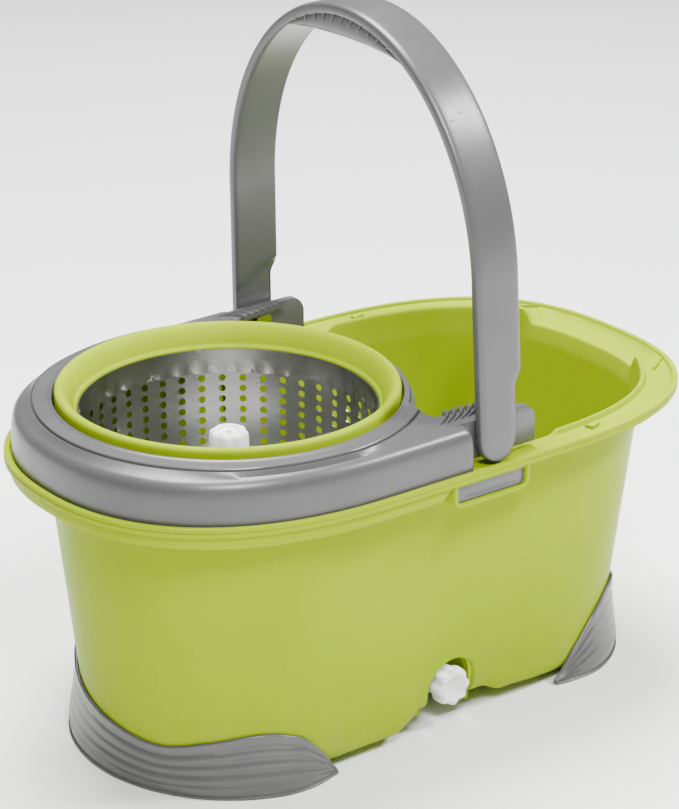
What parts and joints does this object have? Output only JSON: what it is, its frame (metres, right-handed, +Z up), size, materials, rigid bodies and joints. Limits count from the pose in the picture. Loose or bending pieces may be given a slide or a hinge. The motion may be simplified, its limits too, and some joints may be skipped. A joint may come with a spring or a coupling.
{
  "type": "spin mop bucket",
  "caption": "Oval wringing bucket with a free-turning perforated steel basket at one end, a folding bail handle and a screw drain plug.",
  "frame": {"origin": "on the floor under the middle of the tub's rim", "axes": "+X from the spinning basket to the pouring end, +Y across the tub, +Z up"},
  "size_m": [0.48, 0.282, 0.479],
  "materials": {
    "lime_plastic": "moulded lime green plastic, satin gloss",
    "grey_plastic": "moulded mid grey plastic, satin",
    "white_plastic": "moulded white plastic",
    "drum_steel": "thin stainless sheet, fine horizontal brushing",
    "pin_steel": "turned steel",
    "seal_rubber": "black moulded rubber"
  },
  "bodies": {
    "base": {"bucket": "lime_plastic", "spinner_cover": "grey_plastic", "cover_clip_front": "grey_plastic", "cover_clip_rear": "grey_plastic", "foot_basket_end": "grey_plastic", "foot_pour_end": "grey_plastic", "spindle_tower": "grey_plastic", "spindle_pin": "pin_steel", "thrust_washer": "pin_steel", "spindle_clip": "pin_steel", "tower_screw_1": "pin_steel", "tower_screw_2": "pin_steel", "tower_screw_3": "pin_steel", "handle_pin_front": "pin_steel", "handle_pin_rear": "pin_steel", "drain_outlet": "white_plastic", "drain_nut": "white_plastic"},
    "basket": {"basket_ring": "lime_plastic", "basket_drum": "drum_steel", "basket_floor": "drum_steel", "basket_carrier": "lime_plastic", "mop_hub": "white_plastic", "hub_screw_1": "pin_steel", "hub_screw_2": "pin_steel", "hub_screw_3": "pin_steel", "spindle_bush_lower": "white_plastic", "spindle_bush_upper": "white_plastic"},
    "bail": {"handle": "grey_plastic", "handle_grip": "grey_plastic"},
    "drain_slider": {"drain_seal": "seal_rubber"},
    "drain_knob": {"drain_plug": "white_plastic"}
  },
  "joints": [
    {"name": "basket_spin", "type": "hinge", "parent": "base", "child": "basket", "pos_m": [-0.097, 0, 0.16], "axis": [0, 0, 1], "continuous": true},
    {"name": "handle_fold", "type": "hinge", "parent": "base", "child": "bail", "pos_m": [0.0177, 0, 0.2245], "axis": [0, 1, 0], "range_deg": [0, 88]},
    {"name": "drain_slide", "type": "slide", "parent": "base", "child": "drain_slider", "axis": [0, -1, 0], "range_m": [0, 0.0061]},
    {"name": "drain_turn", "type": "hinge", "parent": "drain_slider", "child": "drain_knob", "pos_m": [0.0145, -0.08, 0.029], "axis": [0, -1, 0], "range_deg": [0, 720]}
  ],
  "couplings": [
    {"joint": "drain_slide", "follows": "drain_turn", "m_per_rad": 0.00047746}
  ]
}
